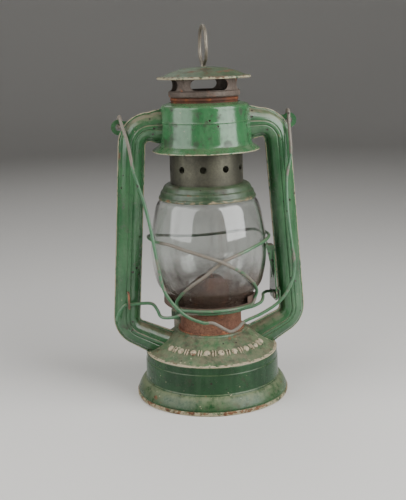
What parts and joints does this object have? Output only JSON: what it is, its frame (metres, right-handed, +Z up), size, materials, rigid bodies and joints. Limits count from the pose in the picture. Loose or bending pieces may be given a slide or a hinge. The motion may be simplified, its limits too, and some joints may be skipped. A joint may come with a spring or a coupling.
{
  "type": "hurricane lantern",
  "caption": "Paraffin lantern with a flared tank, side air tubes, a barrel-shaped glass globe in a wire guard, a hood with a liftable chimney and a swinging wire bail",
  "frame": {"origin": "middle of the base, on the surface that the lantern stands on", "axes": "+Z up along the lantern's axis; +X towards the tube with the lift lever; -Y is the front"},
  "size_m": [0.1485, 0.117, 0.2767],
  "materials": {
    "green_enamel": "worn gloss enamel on sheet steel",
    "green_wire": "worn enamel on steel wire",
    "rusty_steel": "rusted bare sheet steel",
    "bare_steel": "dull bare sheet steel",
    "brass": "tarnished",
    "glass": "clear, smoke-stained",
    "cotton": "woven cotton wick",
    "cork": "oil-darkened gasket"
  },
  "bodies": {
    "frame": {"tank_wall": "green_enamel", "tank_bottom": "rusty_steel", "tank_top": "green_enamel", "filler_neck": "bare_steel", "air_drum": "rusty_steel", "burner_collar": "brass", "burner_base": "rusty_steel", "burner_cone": "rusty_steel", "wick_tube": "brass", "tube_left_front": "green_enamel", "tube_left_back": "green_enamel", "tube_right_front": "green_enamel", "tube_right_back": "green_enamel", "ear_left": "green_enamel", "ear_right": "green_enamel", "hood_skirt": "green_enamel", "hood_top_shell": "green_enamel", "hood_spring": "bare_steel", "guide_staple": "rusty_steel", "lever_bracket": "green_enamel", "lever_pin": "bare_steel"},
    "cap_gasket": {"filler_gasket": "cork"},
    "tank_cap": {"filler_cap": "green_enamel"},
    "knob": {"wick_shaft": "brass", "wick_wheel": "brass"},
    "wick_strip": {"wick": "cotton"},
    "lever": {"lift_lever": "green_enamel"},
    "globe_carriage": {"globe_plate": "rusty_steel", "globe": "glass", "globe_guard": "green_wire", "cradle_wire": "green_wire"},
    "chimney": {"chimney_tube": "bare_steel", "globe_seat": "green_enamel", "chimney_neck": "rusty_steel", "vent_collar": "bare_steel", "cap": "green_enamel", "lift_ring": "bare_steel"},
    "handle": {"bail": "green_wire"}
  },
  "joints": [
    {"name": "globe_lift", "type": "slide", "parent": "frame", "child": "globe_carriage", "axis": [0, 0, 1], "range_m": [0, 0.00638], "deforming": ["hood_spring"]},
    {"name": "chimney_lift", "type": "slide", "parent": "globe_carriage", "child": "chimney", "axis": [0, 0, 1], "range_m": [0, 0.014], "deforming": ["hood_spring"]},
    {"name": "lever_turn", "type": "hinge", "parent": "frame", "child": "lever", "pos_m": [0.0501, -0.008, 0.0734], "axis": [1, 0, 0], "range_deg": [0, 28]},
    {"name": "bail_swing", "type": "hinge", "parent": "frame", "child": "handle", "pos_m": [0, 0, 0.2094], "axis": [-1, 0, 0], "range_deg": [0, 260]},
    {"name": "knob_turn", "type": "hinge", "parent": "frame", "child": "knob", "pos_m": [0.0045, 0.04, 0.05825], "axis": [0, -1, 0], "range_deg": [-100, 160]},
    {"name": "wick_feed", "type": "slide", "parent": "frame", "child": "wick_strip", "axis": [0, 0, 1], "range_m": [-0.006, 0.0095]},
    {"name": "gasket_rise", "type": "slide", "parent": "frame", "child": "cap_gasket", "axis": [0, 0, 1], "range_m": [0, 0.0061]},
    {"name": "cap_turn", "type": "hinge", "parent": "cap_gasket", "child": "tank_cap", "pos_m": [-0.0164, 0.03517, 0.049], "axis": [0, 0, 1], "range_deg": [0, 720]}
  ],
  "couplings": [
    {"joint": "lever_turn", "follows": "globe_lift", "rad_per_m": 76.5},
    {"joint": "wick_feed", "follows": "knob_turn", "m_per_rad": 0.0032},
    {"joint": "gasket_rise", "follows": "cap_turn", "m_per_rad": 0.00047746}
  ]
}
